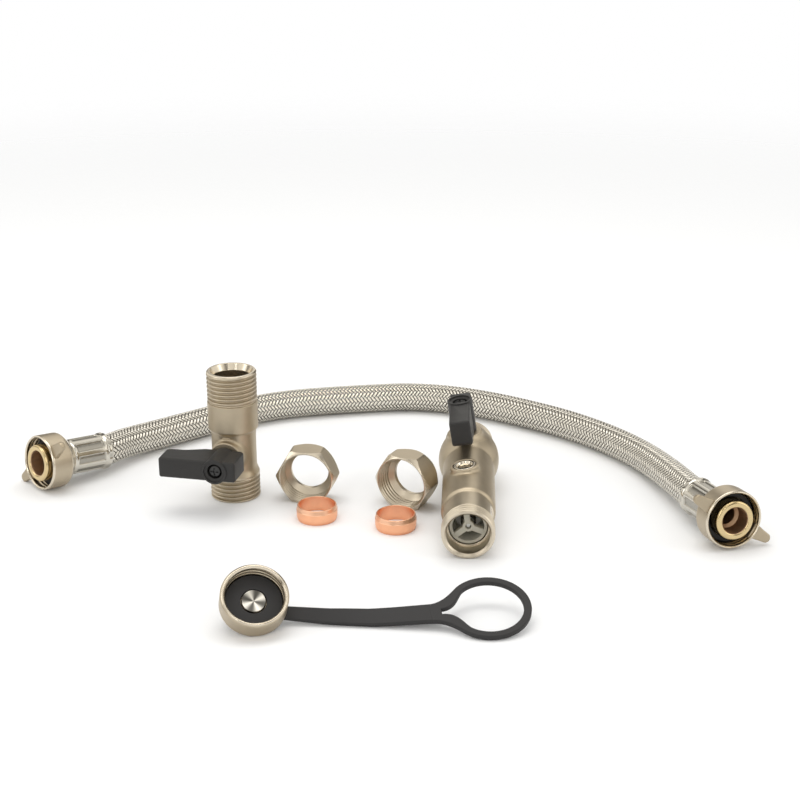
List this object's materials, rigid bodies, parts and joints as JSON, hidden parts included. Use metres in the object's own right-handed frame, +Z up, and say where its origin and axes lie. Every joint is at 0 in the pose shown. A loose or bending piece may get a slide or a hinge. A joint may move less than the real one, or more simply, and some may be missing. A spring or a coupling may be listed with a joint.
{
  "type": "filling loop",
  "caption": "Filling loop for a sealed heating system: braided hose with wing union nuts, isolating valve, double check valve, compression nuts, olives and a strapped cap.",
  "frame": {"origin": "on the floor, under the middle of the loose pieces that lie in front of the hose", "axes": "+Z up, +X to the right and +Y to the back of the lay-out, which is the picture's"},
  "size_m": [0.3113, 0.2398, 0.0561],
  "materials": {
    "nickel": "satin nickel plate over brass",
    "bright_nickel": "bright nickel plate over brass",
    "brass": "turned brass",
    "copper": "bright copper",
    "steel": "plain bright steel",
    "dark_steel": "blackened steel",
    "braid": "woven stainless wire over a rubber hose",
    "black_plastic": "matt black moulding with lighter flat faces",
    "black_rubber": "matt",
    "seat_plastic": "white, slippery",
    "cage_plastic": "grey moulding"
  },
  "bodies": {
    "kit": {"isolating_valve_body": "nickel", "check_valve_body": "nickel", "check_end_adaptor": "nickel", "compression_nut_1": "nickel", "compression_nut_2": "nickel", "test_plug": "bright_nickel", "isolating_retainer": "brass", "left_hose_tail": "brass", "right_hose_tail": "brass", "olive_1": "copper", "olive_2": "copper", "front_check_spring": "steel", "rear_check_spring": "steel", "left_ferrule": "steel", "right_ferrule": "steel", "braided_hose": "braid", "isolating_stem_seal": "black_rubber", "check_stem_seal": "black_rubber", "test_plug_seal": "black_rubber", "front_check_o_ring": "black_rubber", "rear_check_o_ring": "black_rubber", "left_union_washer": "black_rubber", "right_union_washer": "black_rubber", "cap_strap": "black_rubber", "isolating_front_seat": "seat_plastic", "isolating_rear_seat": "seat_plastic", "check_front_seat": "seat_plastic", "check_rear_seat": "seat_plastic", "front_check_cage": "cage_plastic", "rear_check_cage": "cage_plastic"},
    "isolating_lever_body": {"isolating_ball": "bright_nickel", "isolating_stem": "brass", "isolating_lever": "black_plastic", "isolating_lever_screw": "dark_steel"},
    "check_lever_body": {"check_ball": "bright_nickel", "check_stem": "brass", "check_lever": "black_plastic", "check_lever_screw": "dark_steel"},
    "left_union_nut_body": {"left_union_nut": "nickel"},
    "right_union_nut_body": {"right_union_nut": "nickel"},
    "cap_body": {"cap_shell": "nickel", "cap_washer": "black_rubber", "cap_rivet": "bright_nickel"},
    "front_poppet_body": {"front_check_poppet": "seat_plastic"},
    "rear_poppet_body": {"rear_check_poppet": "seat_plastic"}
  },
  "joints": [
    {"name": "isolating_lever_turn", "type": "hinge", "parent": "kit", "child": "isolating_lever_body", "pos_m": [-0.0436, 0.0518, 0.0208], "axis": [0.2079, 0.9781, 0], "range_deg": [0, 90]},
    {"name": "check_lever_turn", "type": "hinge", "parent": "kit", "child": "check_lever_body", "pos_m": [0.05607, 0.05938, 0.0129], "axis": [-0.1578, -0.026, 0.9871], "range_deg": [0, 90]},
    {"name": "left_union_spin", "type": "hinge", "parent": "kit", "child": "left_union_nut_body", "pos_m": [-0.1279, 0.0556, 0.01273], "axis": [-0.7032, -0.7032, 0.1045], "continuous": true},
    {"name": "right_union_spin", "type": "hinge", "parent": "kit", "child": "right_union_nut_body", "pos_m": [0.1567, -0.0033, 0.01273], "axis": [0.2574, -0.9606, 0.1045], "continuous": true},
    {"name": "cap_spin", "type": "hinge", "parent": "kit", "child": "cap_body", "pos_m": [-0.0252, -0.0629, 0.00734], "axis": [0.157, -0.586, 0.795], "continuous": true},
    {"name": "front_poppet_slide", "type": "slide", "parent": "kit", "child": "front_poppet_body", "axis": [-0.0471, -0.9983, -0.0339], "range_m": [0, 0.003], "stiffness_N_per_m": 60, "springref_m": -0.004, "deforming": ["front_check_spring"]},
    {"name": "rear_poppet_slide", "type": "slide", "parent": "kit", "child": "rear_poppet_body", "axis": [-0.0471, -0.9983, -0.0339], "range_m": [0, 0.003], "stiffness_N_per_m": 60, "springref_m": -0.004, "deforming": ["rear_check_spring"]}
  ]
}
